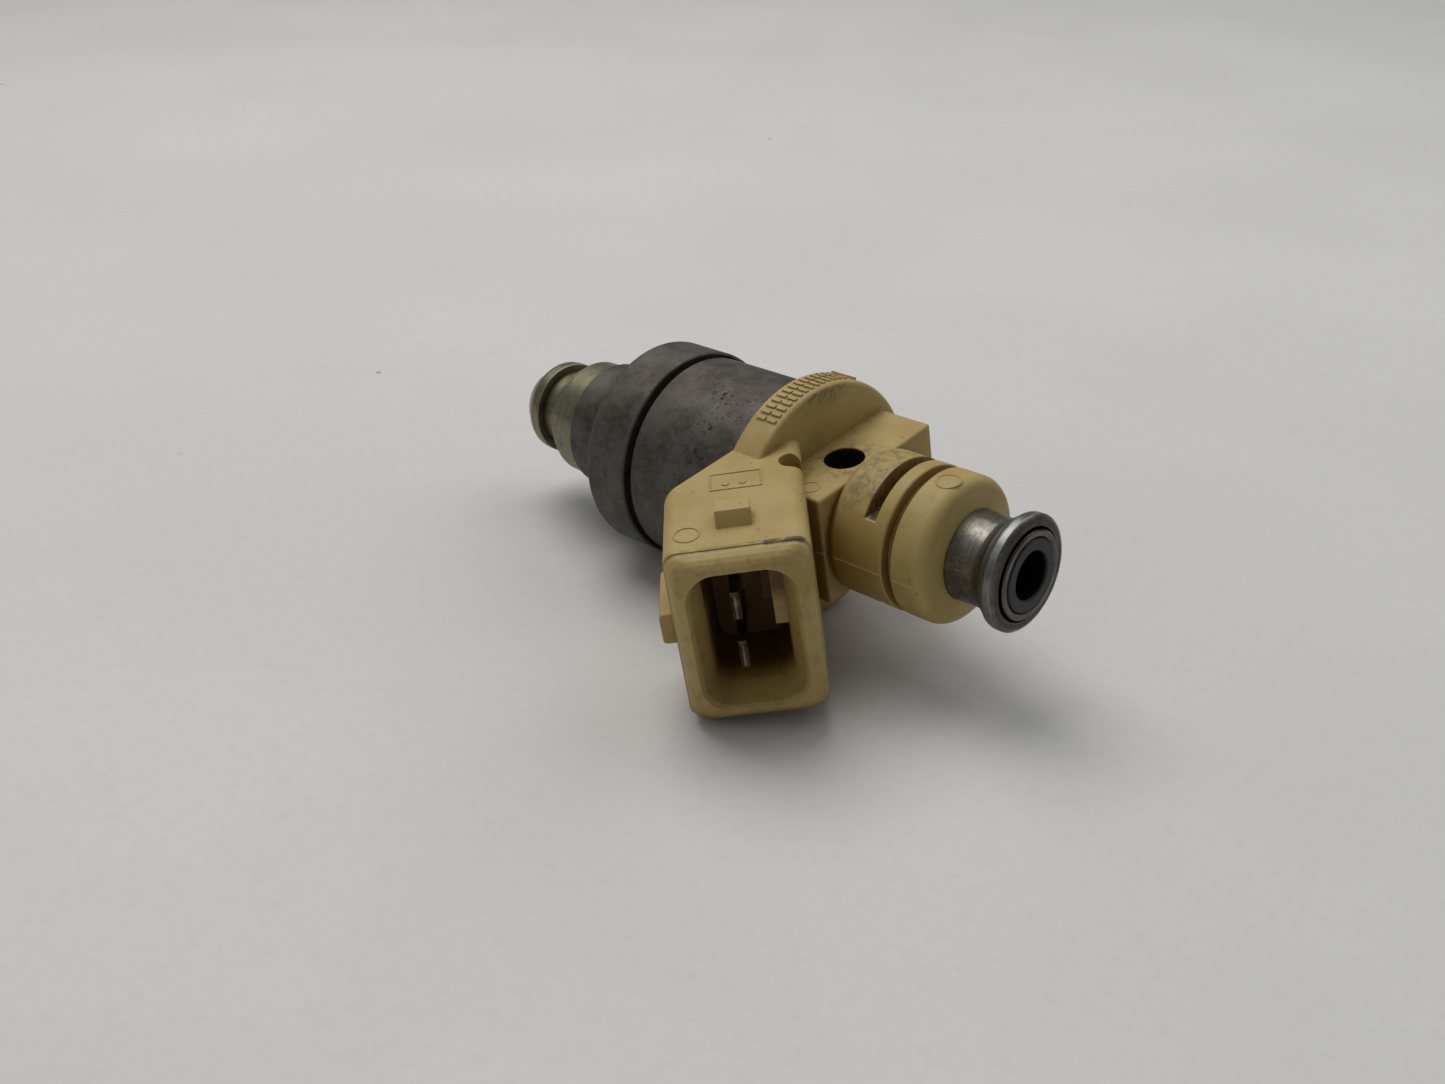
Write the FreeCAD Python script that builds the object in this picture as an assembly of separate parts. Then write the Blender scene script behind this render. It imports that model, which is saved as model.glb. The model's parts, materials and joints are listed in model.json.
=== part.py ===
import FreeCAD, Part
import math
import os

# Solenoid fuel injector, in millimetres.
# Everything is built in a design frame and moved to the resting pose at the end:
#   +X  along the injector's axis towards the fuel inlet, x = 0 at the inlet flange's widest plane
#   -Y  the side that carries the electrical connector
#   +Z  the side with the locating hole, upwards at rest

V = FreeCAD.Vector
AXIS = V(1, 0, 0)
GAP = 0.02                      # play between pieces that are pressed or moulded together

# Resting pose: the steel ring, the plastic rim and one connector corner touch the floor
REST_TILT = 3.40                # degrees, inlet end up
REST_ROLL = 9.00                # degrees about the injector's axis

# Plastic overmould, outside
NECK_R = 6.88
DRUM_END_X = -5.36
DRUM_ROUND_X = -6.85            # where the drum's front rounding starts
PARTING_H = 0.06                # the mould's parting line along both sides of the neck
PARTING_T = 0.12
NECK_REAR_X = -17.35            # the neck rises out of the block's top from here
NECK_REAR_RISE = (1.25, 1.90)   # along the axis, to the end of the rear slope and of its rounding
GROOVE_X = (-10.13, -9.16)      # round groove behind the drum
GROOVE_R = 5.80
CLIP_X = (-12.74, -11.44)       # flat-floored slots for the rail clip
CLIP_FLAT = 4.25                # from the axis to each slot's floor
BLOCK_X = (-22.14, -16.44)
BLOCK_Y = (-7.01, 8.95)
BLOCK_Z = 5.55
HOLE_X = -19.37                 # locating hole in the block, open down to the steel tube
HOLE_R = 1.92
RIM_X = (-25.50, -22.14)
RIM_R = 11.61
RIM_POCKET_X = -24.38           # floor of the pocket that takes the housing
RIM_RIDGE = (-31.5, 0.25, 0.25)  # parting ridge over the rim: degrees from the top, width, height

# Connector, in its own frame: u across, v up, w outwards along the plug's way in, 45 degrees off X
PLUG_C = V(-14.46, -19.09, 0)
PLUG_U = 6.15
PLUG_V = 8.55
PLUG_CORNER = 1.20
PLUG_BACK = 27.0
REAR_EDGE_R = 1.35
LIP = 1.73                      # how far the bevelled lip stands in front of the shell
LIP_SECTIONS = 5
LIP_TURN = 80.0                 # how far round the lip's bevel turns, in degrees
LIP_LAND = 0.12
MOUTH_U = 4.64
MOUTH_V = 7.02
MOUTH_CORNER = 2.84
FUNNEL_W = -1.50                # where the mouth's funnel ends
LIP_STEP = 0.10                 # ledge between the shell and its lip
CAVITY_U = 3.45
CAVITY_V = 6.20
CAVITY_CORNER = 1.00
CAVITY_W = -7.70
CAVITY_DRAFT = 0.42             # how much narrower the cavity is at its back wall, on each side
KEY_U = (2.30, 1.40)            # a stepped coding pad on one wall, from here outwards
KEY_V = (-1.10, 7.00)
KEY_W = (-2.00, -6.00)          # front faces of the pad's two steps

# Lock wedges, guide rib, pocket and tool marks on the connector
WEDGE_V = 1.35
WEDGE_U = 1.50
WEDGE_W = (-2.90, -3.55, -5.30)  # foot of the front face, crest, back
RIB_V = 1.50
RIB_U = 1.35
RIB_W = (-1.60, -14.50)
POCKET_R = 1.15
POCKET_UW = (5.30, -12.80)
MARK_U = (-2.00, 2.60)
MARK_W = (-11.90, -9.10)
MARK_LINE = 0.14
MARK_H = 0.07
EJECTOR_UW = (-4.00, -2.60)
EJECTOR_R = 1.15
EJECTOR_H = 0.05
BLOCK_RING = (-18.70, -5.40, 0.90)  # x, y and radius of the ejector ring on the block
DRUM_RING = (-7.40, 1.15)       # x and radius of the ejector ring on the drum
RIM_MARKS = 14                  # raised bars in each of two rows on the rim
RIM_MARK_X = (0.50, 1.75)       # from the rim's rear edge to each row
RIM_MARK_SIZE = (1.05, 0.36, 0.16)  # along the axis, round the rim, height
RIM_MARK_TURN = (-25.0, 3.75)   # degrees from the top to the first bar, and between bars

# Terminals
PIN_V = 2.52
PIN_U = -0.72
PIN_WIDTH = 2.80
PIN_THICK = 0.80
PIN_TIP_W = 0.15
PIN_BEND_W = -10.30
LEG_WIDTH = 1.30
LEG_Y = -6.80
LEG_END_X = -26.30

# Inlet tube, which is also the magnet's core
TUBE_R = 4.15
FLANGE_R = 5.35
MOUTH_X = 0.46
RECESS_R = 4.10
RECESS_X = -1.20
FILTER_BORE_R = 3.39
FILTER_BORE_X = -10.40
RING_FRONT_X = 0.72
FILTER_FRONT_X = 0.80
CORE_BORE_R = 1.92
CORE_STEP_X = -30.00
CORE_TIP_R = 3.92
POLE_X = -33.00

# Magnet
CAN_R = 10.13
CAN_WALL = 1.00
CAN_X = (-38.73, -24.42)
WASHER_X = (-25.90, -24.42)
BOBBIN_X = (-36.90, -25.95)
BOBBIN_FLANGE = 0.85
BOBBIN_R = (4.34, 5.20, 8.95)
COIL_R = 8.35
SLEEVE_R = (3.96, 4.30)
SLEEVE_X = (-40.40, -30.05)
PLATE_X = (-39.50, -36.98)

# Housing ring and valve body
RING_R = 10.56
RING_X = (-44.70, -39.27)
RING_ROUND = 0.45
NOSE_X = -52.10
NOSE_R = 6.55
SPIGOT_R = 9.10
SPIGOT_BORE = 8.45
BODY_FLANGE_R = 8.40
BODY_FLANGE_X = (-43.50, -41.62)
BODY_R = 5.90
HUMP_R = 6.05
HUMP_X = (-55.40, -52.12)
COLLAR_R = 5.47
COLLAR_X = -56.25
SEAL_R = 4.10
SEAL_X = -59.20
STUB_R = 3.70
STUB_X = -60.60
CAP_R = 4.92
CAP_END_X = -62.60
CAP_END_R = 3.40

# Valve
LIFT = 0.12
STOP_X = (-41.60, -40.60)
STOP_HOLE_R = 1.30
ARMATURE_R = 3.90
ARMATURE_X = (-40.28, -33.18)
SPRING_FLOOR_X = -37.00
SPRING_R = 1.48
SPRING_WIRE_R = 0.24
SPRING_TURNS = 12
ROD_R = 0.90
ROD_COLLAR_R = 2.10
ROD_COLLAR_T = 1.20
BALL_R = 1.50
BALL_X = -58.37
BALL_FLAT_X = -57.27
SEAT_X = (-60.55, -57.60)
SEAT_R = 2.98
SEAT_APEX_X = -60.50
SEAT_HOLE_R = 0.60


def arc(mid, end):
    """An arc in a half profile, through mid to end."""
    return {"mid": mid, "end": end}


def revolved(path):
    """A solid of revolution about X from a closed half profile of (x, r) points and arcs."""
    edges = []
    start = path[0]
    here = V(start[0], 0, start[1])
    for step in path[1:] + [start]:
        if isinstance(step, dict):
            mid = V(step["mid"][0], 0, step["mid"][1])
            there = V(step["end"][0], 0, step["end"][1])
            edges.append(Part.Arc(here, mid, there).toShape())
        else:
            there = V(step[0], 0, step[1])
            edges.append(Part.makeLine(here, there))
        here = there
    face = Part.Face(Part.Wire(edges))
    return face.revolve(V(0, 0, 0), AXIS, 360)


def rod(radius, x_low, x_high, y=0.0, z=0.0):
    """A solid cylinder along X."""
    return Part.makeCylinder(radius, x_high - x_low, V(x_low, y, z), AXIS)


def tube(outer, inner, x_low, x_high):
    """A plain tube along X."""
    return rod(outer, x_low, x_high).cut(rod(inner, x_low - 1, x_high + 1))


def box(x_span, y_span, z_span):
    """An axis-aligned box from three (low, high) pairs."""
    size = [span[1] - span[0] for span in (x_span, y_span, z_span)]
    return Part.makeBox(size[0], size[1], size[2], V(x_span[0], y_span[0], z_span[0]))


def rounded_rect(half_u, half_v, corner, w):
    """A rectangle with round corners in the plane w, as a wire."""
    cut = corner * (1 - math.sqrt(0.5))
    edges = []
    for su, sv, flip in ((1, 1, False), (-1, 1, True), (-1, -1, False), (1, -1, True)):
        on_side = V(su * half_u, sv * (half_v - corner), w)
        on_top = V(su * (half_u - corner), sv * half_v, w)
        middle = V(su * (half_u - cut), sv * (half_v - cut), w)
        ends = (on_top, on_side) if flip else (on_side, on_top)
        edges.append((ends[0], middle, ends[1]))
    shape = []
    for i, (first, middle, last) in enumerate(edges):
        shape.append(Part.Arc(first, middle, last).toShape())
        shape.append(Part.makeLine(last, edges[(i + 1) % 4][0]))
    return Part.Wire(shape)


def rounded_prism(half_u, half_v, corner, w_low, w_high):
    """A bar with a rounded-rectangle section between two w planes."""
    face = Part.Face(rounded_rect(half_u, half_v, corner, w_low))
    return face.extrude(V(0, 0, w_high - w_low))


def plug_frame():
    """Where the connector's u, v, w frame stands in the design frame."""
    half = math.sqrt(0.5)
    columns = FreeCAD.Matrix(half, 0, half, PLUG_C.x,
                             half, 0, -half, PLUG_C.y,
                             0, 1, 0, PLUG_C.z,
                             0, 0, 0, 1)
    return FreeCAD.Placement(columns)


def in_plug(shape):
    """Move a shape from the connector's frame to the design frame."""
    moved = shape.copy()
    moved.Placement = plug_frame()
    return moved


def neck_and_drum():
    """The round plastic neck with its groove, rings, clip slots and parting line."""
    slope, full = NECK_REAR_RISE
    neck = revolved([
        (NECK_REAR_X, 0), (NECK_REAR_X, BLOCK_Z - 0.05), (NECK_REAR_X + slope, NECK_R - 0.24),
        arc((NECK_REAR_X + slope + 0.28, NECK_R - 0.07), (NECK_REAR_X + full, NECK_R)),
        (GROOVE_X[0] - 0.12, NECK_R), (GROOVE_X[0], NECK_R - 0.12), (GROOVE_X[0], GROOVE_R),
        (GROOVE_X[1], GROOVE_R), (GROOVE_X[1], NECK_R - 0.15),
        (GROOVE_X[1] + 0.15, NECK_R), (DRUM_ROUND_X, NECK_R),
        arc((DRUM_ROUND_X + 0.72, NECK_R - 0.28), (DRUM_ROUND_X + 1.08, NECK_R - 0.98)),
        (DRUM_END_X, TUBE_R), (DRUM_END_X, 0)])
    line = rod(NECK_R + PARTING_H, NECK_REAR_X + full, CLIP_X[0]).fuse(
        [rod(NECK_R + PARTING_H, CLIP_X[1], GROOVE_X[0] - 0.2),
         rod(NECK_R + PARTING_H, GROOVE_X[1] + 0.2, DRUM_ROUND_X)])
    slab = box((-30, 0), (-10, 10), (-PARTING_T / 2, PARTING_T / 2))
    neck = neck.fuse(line.common(slab))
    for side in (-1, 1):
        floor = sorted((side * CLIP_FLAT, side * (NECK_R + 1)))
        neck = neck.cut(box(CLIP_X, (-9, 9), floor))
    x, radius = DRUM_RING
    return neck.fuse(ejector_ring(x, 0.0, radius, NECK_R - 0.5, NECK_R + 1).common(
        rod(NECK_R + EJECTOR_H, GROOVE_X[1] + 0.2, DRUM_ROUND_X + 0.6)))


def ejector_ring(x, y, radius, z_low, z_high):
    """A thin standing ring, as a round ejector pin leaves it."""
    ring = Part.makeCylinder(radius, z_high - z_low, V(x, y, z_low))
    return ring.cut(Part.makeCylinder(radius - MARK_LINE, z_high - z_low, V(x, y, z_low)))


def rim():
    """The plastic rim that meets the steel housing."""
    low, high = RIM_X
    body = revolved([(low, 0), (low, RIM_R - 0.10), arc((low + 0.03, RIM_R - 0.03), (low + 0.10, RIM_R)),
                     (high - 0.45, RIM_R), arc((high - 0.13, RIM_R - 0.13), (high, RIM_R - 0.45)),
                     (high, 0)])
    length, width, height = RIM_MARK_SIZE
    bars = []
    for offset in RIM_MARK_X:
        x = low + offset
        for i in range(RIM_MARKS):
            bar = box((x, x + length), (-width / 2, width / 2), (RIM_R - 0.4, RIM_R + height))
            bar.rotate(V(0, 0, 0), AXIS, RIM_MARK_TURN[0] + i * RIM_MARK_TURN[1])
            bars.append(bar)
    turn, width, height = RIM_RIDGE
    ridge = box((low, high - 0.5), (-width / 2, width / 2), (RIM_R - 0.4, RIM_R + height))
    ridge.rotate(V(0, 0, 0), AXIS, turn)
    return body.fuse(bars + [ridge])


def block():
    """The square block between neck and rim."""
    body = box((BLOCK_X[0] - 0.5, BLOCK_X[1]), BLOCK_Y, (-BLOCK_Z, BLOCK_Z))
    sharp = [e for e in body.Edges if e.Vertexes[0].X > -17 or e.Vertexes[1].X > -17]
    x, y, radius = BLOCK_RING
    return body.makeFillet(0.30, sharp).fuse(ejector_ring(x, y, radius, BLOCK_Z - 0.5, BLOCK_Z + EJECTOR_H))


def connector_shell():
    """The angled connector with its lip, rib, wedges and marks, in the design frame."""
    end = math.radians(LIP_TURN)
    reach = (PLUG_U - MOUTH_U - LIP_STEP - LIP_LAND) / (1 - math.cos(end))
    rise = LIP / math.sin(end)
    sections = []
    for part in range(LIP_SECTIONS + 1):
        turn = math.radians(LIP_TURN * part / LIP_SECTIONS)
        inset = LIP_STEP + reach * (1 - math.cos(turn))
        w = rise * math.sin(turn)
        corner = PLUG_CORNER + (MOUTH_CORNER - PLUG_CORNER) * part / LIP_SECTIONS
        sections.append(rounded_rect(PLUG_U - inset, PLUG_V - inset, corner, w))
    lip = Part.makeLoft(sections, True, True)
    shell = rounded_prism(PLUG_U, PLUG_V, PLUG_CORNER, -PLUG_BACK, 0).fuse(lip)
    for side in (-1, 1):
        shell = shell.fuse(lock_wedge(side))
    rib = box((-PLUG_U - RIB_U, -PLUG_U + 0.5), (-RIB_V, RIB_V), (RIB_W[1], RIB_W[0]))
    long_edges = [e for e in rib.Edges if abs(e.Length - (RIB_W[0] - RIB_W[1])) < 0.01
                  and e.Vertexes[0].X < -PLUG_U - 0.5]
    shell = shell.fuse(rib.makeFillet(0.35, long_edges))
    shell = shell.fuse(tool_marks())
    pocket = Part.makeCylinder(POCKET_R, 2 * PLUG_V + 2, V(POCKET_UW[0], 0.0, POCKET_UW[1]), V(0, 1, 0))
    mouth = box((POCKET_UW[0], PLUG_U + 1), (0, 2 * PLUG_V), (POCKET_UW[1] - POCKET_R * 0.8,
                                                              POCKET_UW[1] + POCKET_R * 0.8))
    shell = in_plug(shell.cut(pocket).cut(mouth))
    return shell.common(rear_trim())


def rear_trim():
    """The space in front of the rim's rear plane, with the connector's rounded rear edge."""
    low = RIM_X[0]
    half = math.sqrt(0.5)
    corner_y = PLUG_C.y + half * (-PLUG_U) + (PLUG_C.x - half * PLUG_U - low)
    edge = V(low, corner_y, 0)
    keep = box((low, 20), (-60, 30), (-20, 20))
    tangent = REAR_EDGE_R * math.tan(math.radians(45.0 / 2))
    centre = edge + V(REAR_EDGE_R, tangent, 0)
    first = edge + V(0, tangent, 0)
    second = edge + V(tangent * half, -tangent * half, 0)
    wedge = Part.Face(Part.makePolygon([first, edge + V(-1, -1, 0), second, centre, first]))
    sliver = wedge.extrude(V(0, 0, 40)).translate(V(0, 0, -20))
    round_bar = Part.makeCylinder(REAR_EDGE_R, 42, centre + V(0, 0, -21))
    return keep.cut(sliver.cut(round_bar))


def lock_wedge(side):
    """A ramped catch for the plug's latch on the narrow face at side * v."""
    foot, crest, back = WEDGE_W
    sunk = PLUG_V - 0.4
    points = [V(-WEDGE_U, sunk, foot), V(-WEDGE_U, PLUG_V, foot), V(-WEDGE_U, PLUG_V + WEDGE_V, crest),
              V(-WEDGE_U, PLUG_V + WEDGE_V, back + 0.12), V(-WEDGE_U, PLUG_V, back), V(-WEDGE_U, sunk, back)]
    flat = [V(p.x, side * p.y, p.z) for p in points]
    return Part.Face(Part.makePolygon(flat + [flat[0]])).extrude(V(2 * WEDGE_U, 0, 0))


def tool_marks():
    """A framed mark and an ejector ring that the mould leaves on the connector's upper face."""
    u_low, u_high = MARK_U
    w_low, w_high = MARK_W
    base = PLUG_V - 0.2
    outer = Part.makeBox(u_high - u_low, MARK_H + 0.2, w_high - w_low, V(u_low, base, w_low))
    inner = Part.makeBox(u_high - u_low - 2 * MARK_LINE, 1, w_high - w_low - 2 * MARK_LINE,
                         V(u_low + MARK_LINE, base - 0.3, w_low + MARK_LINE))
    marks = outer.cut(inner)
    for u in (-0.6, 0.9):
        pip = Part.makeCylinder(0.34, MARK_H + 0.2, V(u, base, -10.1), V(0, 1, 0))
        marks = marks.fuse(pip)
    centre = V(EJECTOR_UW[0], base, EJECTOR_UW[1])
    ring = Part.makeCylinder(EJECTOR_R, MARK_H + 0.2, centre, V(0, 1, 0))
    ring = ring.cut(Part.makeCylinder(EJECTOR_R - MARK_LINE, 1, centre - V(0, 0.3, 0), V(0, 1, 0)))
    return marks.fuse(ring)


def connector_cavity():
    """The plug's space: a funnel, then drafted walls with a stepped coding pad left on one."""
    inner = rounded_rect(CAVITY_U, CAVITY_V, CAVITY_CORNER, FUNNEL_W)
    edge = rounded_rect(MOUTH_U - 0.25, MOUTH_V - 0.25, MOUTH_CORNER - 0.5, LIP - 0.45)
    outer = rounded_rect(MOUTH_U + 0.10, MOUTH_V + 0.10, MOUTH_CORNER, LIP + 0.05)
    space = Part.makeLoft([inner, edge, outer], True, True)
    floor = rounded_rect(CAVITY_U - CAVITY_DRAFT, CAVITY_V - CAVITY_DRAFT, CAVITY_CORNER + 0.4, CAVITY_W)
    space = space.fuse(Part.makeLoft([floor, inner], True, True))
    for u, w in zip(KEY_U, KEY_W):
        space = space.cut(box((u, PLUG_U), KEY_V, (CAVITY_W - 1, w)))
    return in_plug(space)


def terminal(side):
    """A blade for the plug, its buried strip and its leg down to the coil former."""
    half = math.sqrt(0.5)
    v_mid = side * PIN_V
    blade = Part.makeBox(PIN_THICK, PIN_WIDTH, PIN_TIP_W - PIN_BEND_W,
                         V(PIN_U - PIN_THICK / 2, v_mid - PIN_WIDTH / 2, PIN_BEND_W))
    tip = [e for e in blade.Edges if min(v.Z for v in e.Vertexes) > PIN_TIP_W - 0.01]
    blade = in_plug(blade.makeChamfer(0.30, tip))
    bend = PLUG_C + V(half * PIN_U, half * PIN_U, 0) + V(half * PIN_BEND_W, -half * PIN_BEND_W, 0)
    strip = box((bend.x - PIN_THICK / 2, bend.x + PIN_THICK / 2),
                (bend.y - 0.6, LEG_Y + PIN_THICK / 2), (v_mid - LEG_WIDTH / 2, v_mid + LEG_WIDTH / 2))
    leg = box((LEG_END_X, bend.x + PIN_THICK / 2), (LEG_Y - PIN_THICK / 2, LEG_Y + PIN_THICK / 2),
              (v_mid - LEG_WIDTH / 2, v_mid + LEG_WIDTH / 2))
    return blade.fuse([strip, leg]).removeSplitter()


def leg_window(play):
    """The space of both terminal legs, widened by play."""
    spaces = []
    for side in (-1, 1):
        mid = side * PIN_V
        reach = LEG_WIDTH / 2 + play
        spaces.append(box((-28, -20), (LEG_Y - PIN_THICK / 2 - play, LEG_Y + PIN_THICK / 2 + play),
                          (mid - reach, mid + reach)))
    return spaces[0].fuse(spaces[1])


def overmould():
    """The one-piece plastic moulding, bored for the tube, the housing and the terminals."""
    body = neck_and_drum().fuse([block(), rim(), connector_shell()])
    body = body.cut(rod(TUBE_R + GAP, RIM_X[0] - 1, 1))
    body = body.cut(rod(CAN_R + GAP, RIM_X[0] - 1, RIM_POCKET_X))
    body = body.cut(Part.makeCylinder(HOLE_R, BLOCK_Z, V(HOLE_X, 0, 1.5)))
    body = body.cut(connector_cavity())
    for side in (-1, 1):
        body = body.cut(terminal(side))
    return body


def inlet_tube():
    """The steel inlet tube with its rolled flange; its lower end is the magnet's pole."""
    return revolved([
        (RECESS_X, RECESS_R), (MOUTH_X - 0.35, RECESS_R), (MOUTH_X - 0.10, RECESS_R + 0.20),
        (MOUTH_X, RECESS_R + 0.28), (MOUTH_X, RECESS_R + 0.55),
        arc((MOUTH_X - 0.12, FLANGE_R - 0.23), (0.10, FLANGE_R)), (-0.45, FLANGE_R),
        arc((-0.85, FLANGE_R - 0.16), (-1.05, FLANGE_R - 0.50)), (-1.45, FLANGE_R - 0.62),
        arc((-1.95, TUBE_R + 0.16), (-2.45, TUBE_R)),
        (CORE_STEP_X, TUBE_R), (CORE_STEP_X, CORE_TIP_R),
        (POLE_X + 0.15, CORE_TIP_R), (POLE_X, CORE_TIP_R - 0.15), (POLE_X, CORE_BORE_R),
        (FILTER_BORE_X - 1.0, CORE_BORE_R), (FILTER_BORE_X, FILTER_BORE_R), (RECESS_X, FILTER_BORE_R)])


def filter_ring():
    """The bright metal ring pressed into the inlet's mouth round the filter."""
    low = RECESS_X + GAP
    outer = RECESS_R - GAP
    inner = FILTER_BORE_R + GAP
    front = RING_FRONT_X
    return revolved([(low, inner), (low, outer), (front - 0.10, outer), (front, outer - 0.12),
                     (front, inner + 0.14), (front - 0.12, inner)])


def filter_basket():
    """The filter's plastic collar, four ribs and end cap."""
    outer = FILTER_BORE_R - GAP
    front = FILTER_FRONT_X
    collar = revolved([(-2.40, 2.25), (-2.40, outer - 0.2), (-2.2, outer), (front - 0.12, outer),
                       (front, outer - 0.12), (front, 2.40), (front - 0.14, 2.25)])
    cap = revolved([(-9.90, 0), (-9.90, 1.90), (-9.30, 2.60), (-8.90, 2.60), (-8.90, 0)])
    ribs = []
    for quarter in range(4):
        rib = box((-9.0, -2.3), (-0.35, 0.35), (2.28, 2.90))
        rib.rotate(V(0, 0, 0), AXIS, 45 + 90 * quarter)
        ribs.append(rib.common(rod(2.80, -9.0, -2.3)))
    return collar.fuse([cap] + ribs).removeSplitter()


def filter_mesh():
    """The fine filter screen inside the basket's ribs."""
    return tube(2.00, 1.88, -8.88, -2.42).fuse(tube(2.22, 1.88, -2.60, -2.42))


def adjusting_sleeve():
    """The split sleeve, pressed into the core, that sets the spring's force."""
    sleeve = tube(CORE_BORE_R - GAP, 1.10, -24.0, -16.0)
    return sleeve.cut(box((-25, -15), (-0.30, 0.30), (0, 3)))


def return_spring():
    """The coil spring between the adjusting sleeve and the armature."""
    low = SPRING_FLOOR_X + 0.03
    high = -24.03
    length = high - low - 2 * SPRING_WIRE_R
    helix = Part.makeHelix(length / SPRING_TURNS, length, SPRING_R)
    start = V(SPRING_R, 0, 0)
    section = Part.Wire(Part.makeCircle(SPRING_WIRE_R, start, V(0, 1, length / SPRING_TURNS / 9.3)))
    coil = Part.Wire(helix).makePipeShell([section], True, True)
    coil.Placement = FreeCAD.Placement(V(low + SPRING_WIRE_R, 0, 0), FreeCAD.Rotation(V(0, 1, 0), 90))
    return coil


def can_housing():
    """The steel can round the coil."""
    low, high = CAN_X
    inner = CAN_R - CAN_WALL
    return revolved([(low, inner), (low, CAN_R - 0.2), arc((low + 0.06, CAN_R - 0.06), (low + 0.2, CAN_R)),
                     (high, CAN_R), (high, inner)])


def flux_washer():
    """The upper flux plate, with windows for the terminal legs."""
    washer = tube(CAN_R - CAN_WALL - GAP, TUBE_R + GAP, WASHER_X[0], WASHER_X[1])
    return washer.cut(leg_window(0.35))


def coil_bobbin():
    """The coil former, slotted for the terminal legs."""
    low, high = BOBBIN_X
    bore, hub, outer = BOBBIN_R
    first = low + BOBBIN_FLANGE
    last = high - BOBBIN_FLANGE
    body = revolved([(low, bore), (low, outer), (first, outer), (first, hub),
                     (last, hub), (last, outer), (high, outer), (high, bore)])
    legs = leg_window(0).common(box((LEG_END_X, -20), (-20, 20), (-20, 20)))
    return body.cut(legs)


def coil_winding():
    """The copper winding, as one body with a ribbed outside."""
    low = BOBBIN_X[0] + BOBBIN_FLANGE + GAP
    high = BOBBIN_X[1] - BOBBIN_FLANGE - GAP
    inner = BOBBIN_R[1] + GAP
    turns = 22
    pitch = (high - low) / turns
    path = [(low, inner), (low, COIL_R - pitch / 3)]
    for i in range(turns):
        x = low + i * pitch
        path.append(arc((x + pitch / 2, COIL_R), (x + pitch, COIL_R - pitch / 3)))
    path.append((high, inner))
    return revolved(path)


def guide_sleeve():
    """The thin non-magnetic sleeve that guides the armature."""
    return tube(SLEEVE_R[1], SLEEVE_R[0], SLEEVE_X[0], SLEEVE_X[1])


def lower_plate():
    """The lower flux plate round the guide sleeve."""
    return tube(SPIGOT_BORE - GAP, SLEEVE_R[1] + GAP, PLATE_X[0], PLATE_X[1])


def housing_ring():
    """The lower steel ring: a spigot inside the can, a broad band, and a slim nose."""
    low, high = RING_X
    return revolved([
        (PLATE_X[1], SPIGOT_BORE), (PLATE_X[1], SPIGOT_R), (high - 0.35, SPIGOT_R),
        (high - 0.35, RING_R - 0.45), (high, RING_R - 0.25),
        arc((high - 0.08, RING_R - 0.07), (high - 0.25, RING_R)), (low + RING_ROUND, RING_R),
        arc((low + 0.13, RING_R - 0.13), (low, RING_R - RING_ROUND)), (low - 1.90, NOSE_R + 1.60),
        arc((low - 2.35, NOSE_R + 0.45), (low - 3.40, NOSE_R)), (NOSE_X + 0.30, NOSE_R),
        arc((NOSE_X + 0.09, NOSE_R - 0.09), (NOSE_X, NOSE_R - 0.30)), (NOSE_X, BODY_R + GAP),
        (BODY_FLANGE_X[0] - 1.75, BODY_R + GAP), (BODY_FLANGE_X[0] - 1.75, 7.60),
        (BODY_FLANGE_X[0] - GAP, 7.60), (BODY_FLANGE_X[0] - GAP, SPIGOT_BORE)])


def stop_plate():
    """The slotted plate that limits the needle's lift."""
    low, high = STOP_X
    plate = rod(BODY_FLANGE_R, low, high).cut(rod(STOP_HOLE_R, low - 1, high + 1))
    plate = plate.cut(box((low - 1, high + 1), (-STOP_HOLE_R, STOP_HOLE_R), (0, 20)))
    for turn in range(2):
        plate = plate.cut(rod(0.55, low - 1, high + 1, y=3.0 * (1 - 2 * turn)))
    return plate


def valve_body():
    """The plated valve body, from its clamped flange to the nozzle's seal groove."""
    flange_low, flange_high = BODY_FLANGE_X
    body = revolved([
        (flange_high, 2.60), (flange_high, BODY_FLANGE_R), (flange_low, BODY_FLANGE_R),
        (flange_low, BODY_R), (HUMP_X[1] + 0.02, BODY_R), (HUMP_X[1], BODY_R + 0.05),
        (HUMP_X[1] - 0.20, HUMP_R), (HUMP_X[0] + 0.35, HUMP_R),
        arc((HUMP_X[0] + 0.10, HUMP_R - 0.10), (HUMP_X[0], HUMP_R - 0.35)), (HUMP_X[0] - 0.10, COLLAR_R),
        (COLLAR_X + 0.12, COLLAR_R), (COLLAR_X, COLLAR_R - 0.12), (COLLAR_X, SEAL_R), (SEAL_X, SEAL_R),
        (SEAL_X, STUB_R), (STUB_X, STUB_R), (STUB_X, SEAT_R + GAP), (SEAT_X[1] + GAP, SEAT_R + GAP),
        (SEAT_X[1] + GAP, 2.00), (-44.00, 2.00), (-44.00, 2.60)])
    return body


def nozzle_cap():
    """The cap crimped over the nozzle's end, with its spray opening."""
    return revolved([
        (SEAL_X - GAP, STUB_R + GAP), (SEAL_X - GAP, CAP_R - 0.10), (SEAL_X - 0.12, CAP_R),
        (-60.15, CAP_R), arc((-60.60, CAP_R - 0.13), (-60.95, CAP_R - 0.42)),
        (CAP_END_X + 0.20, CAP_END_R + 0.12), (CAP_END_X, CAP_END_R - 0.12),
        (CAP_END_X, 2.35), (-61.30, 1.45), (-60.92, 1.45), (-60.92, STUB_R + GAP)])


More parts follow.
